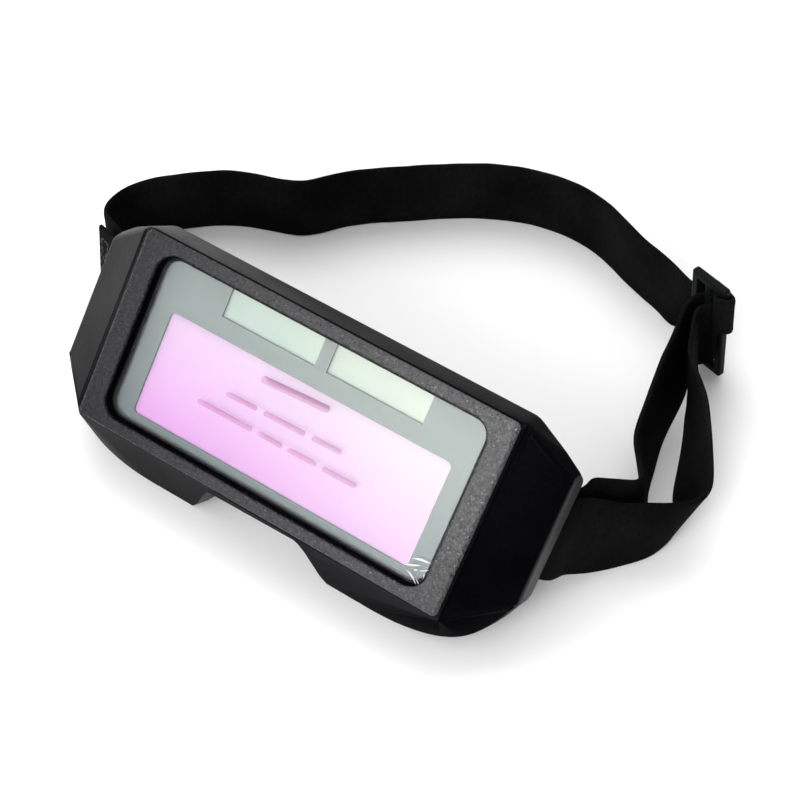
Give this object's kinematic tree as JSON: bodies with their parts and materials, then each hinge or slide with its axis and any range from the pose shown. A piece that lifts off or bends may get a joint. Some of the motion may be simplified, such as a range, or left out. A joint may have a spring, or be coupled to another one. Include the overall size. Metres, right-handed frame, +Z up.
{
  "type": "welding goggles",
  "caption": "Welding goggles: faceted black housing, flat auto-darkening window with a pull-off front frame, elastic strap with slide buckle.",
  "frame": {"origin": "on the table under the middle of the whole footprint, goggles and strap together", "axes": "+X to the side, towards the goggles' left-hand side as worn (the right in a front view); +Y from the lens towards the face and the strap; +Z up from the table. The lens plane is tipped back 44 degrees from upright"},
  "size_m": [0.2026, 0.1506, 0.0623],
  "materials": {
    "housing_plastic": "black moulded plastic, fine satin grain",
    "bezel_plastic": "charcoal moulded plastic, coarse spark grain",
    "clear_plastic": "clear polycarbonate",
    "film_clear": "thin clear protective film, a little wrinkled",
    "cartridge_grey": "grey-green printed face",
    "cartridge_dark": "black moulded tray",
    "filter_pink": "mirror-like pink interference coating",
    "polarizer": "grey film",
    "liquid_crystal": "laminated glass",
    "solar": "pale green glazed cell",
    "board_green": "green circuit board",
    "chip_black": "black packages",
    "pin_metal": "plated pins",
    "elastic_black": "black woven elastic, ribbed across",
    "buckle_plastic": "black moulded plastic, satin"
  },
  "bodies": {
    "goggles": {"housing": "housing_plastic", "strap_band": "elastic_black", "strap_left_loop": "elastic_black", "strap_return": "elastic_black", "strap_end": "elastic_black"},
    "inner_cover": {"inner_cover_lens": "clear_plastic"},
    "cartridge": {"cartridge_front_frame": "cartridge_grey", "cartridge_rear_frame": "cartridge_dark", "uv_ir_filter": "filter_pink", "polarizer_front": "polarizer", "lc_cell_front": "liquid_crystal", "polarizer_middle": "polarizer", "lc_cell_rear": "liquid_crystal", "polarizer_rear": "polarizer", "solar_cell_left": "solar", "solar_cell_right": "solar", "circuit_board": "board_green", "board_components": "chip_black", "contact_pins": "pin_metal"},
    "cover": {"front_cover_lens": "clear_plastic"},
    "film": {"protective_film": "film_clear"},
    "bezel": {"front_frame": "bezel_plastic"},
    "buckle": {"slide_buckle": "buckle_plastic"}
  },
  "joints": [
    {"name": "inner_cover_pull", "type": "slide", "parent": "goggles", "child": "inner_cover", "axis": [0, -0.7193, 0.6947], "range_m": [0, 0.008]},
    {"name": "cartridge_pull", "type": "slide", "parent": "inner_cover", "child": "cartridge", "axis": [0, -0.7193, 0.6947], "range_m": [0, 0.01]},
    {"name": "cover_pull", "type": "slide", "parent": "cartridge", "child": "cover", "axis": [0, -0.7193, 0.6947], "range_m": [0, 0.008]},
    {"name": "film_peel", "type": "slide", "parent": "cover", "child": "film", "axis": [0, -0.7193, 0.6947], "range_m": [0, 0.02]},
    {"name": "bezel_pull", "type": "slide", "parent": "cover", "child": "bezel", "axis": [0, -0.7193, 0.6947], "range_m": [0, 0.012]},
    {"name": "buckle_slide", "type": "slide", "parent": "goggles", "child": "buckle", "axis": [-0.9455, 0.3256, 0], "range_m": [0, 0.01], "deforming": ["strap_return", "strap_end"]}
  ]
}
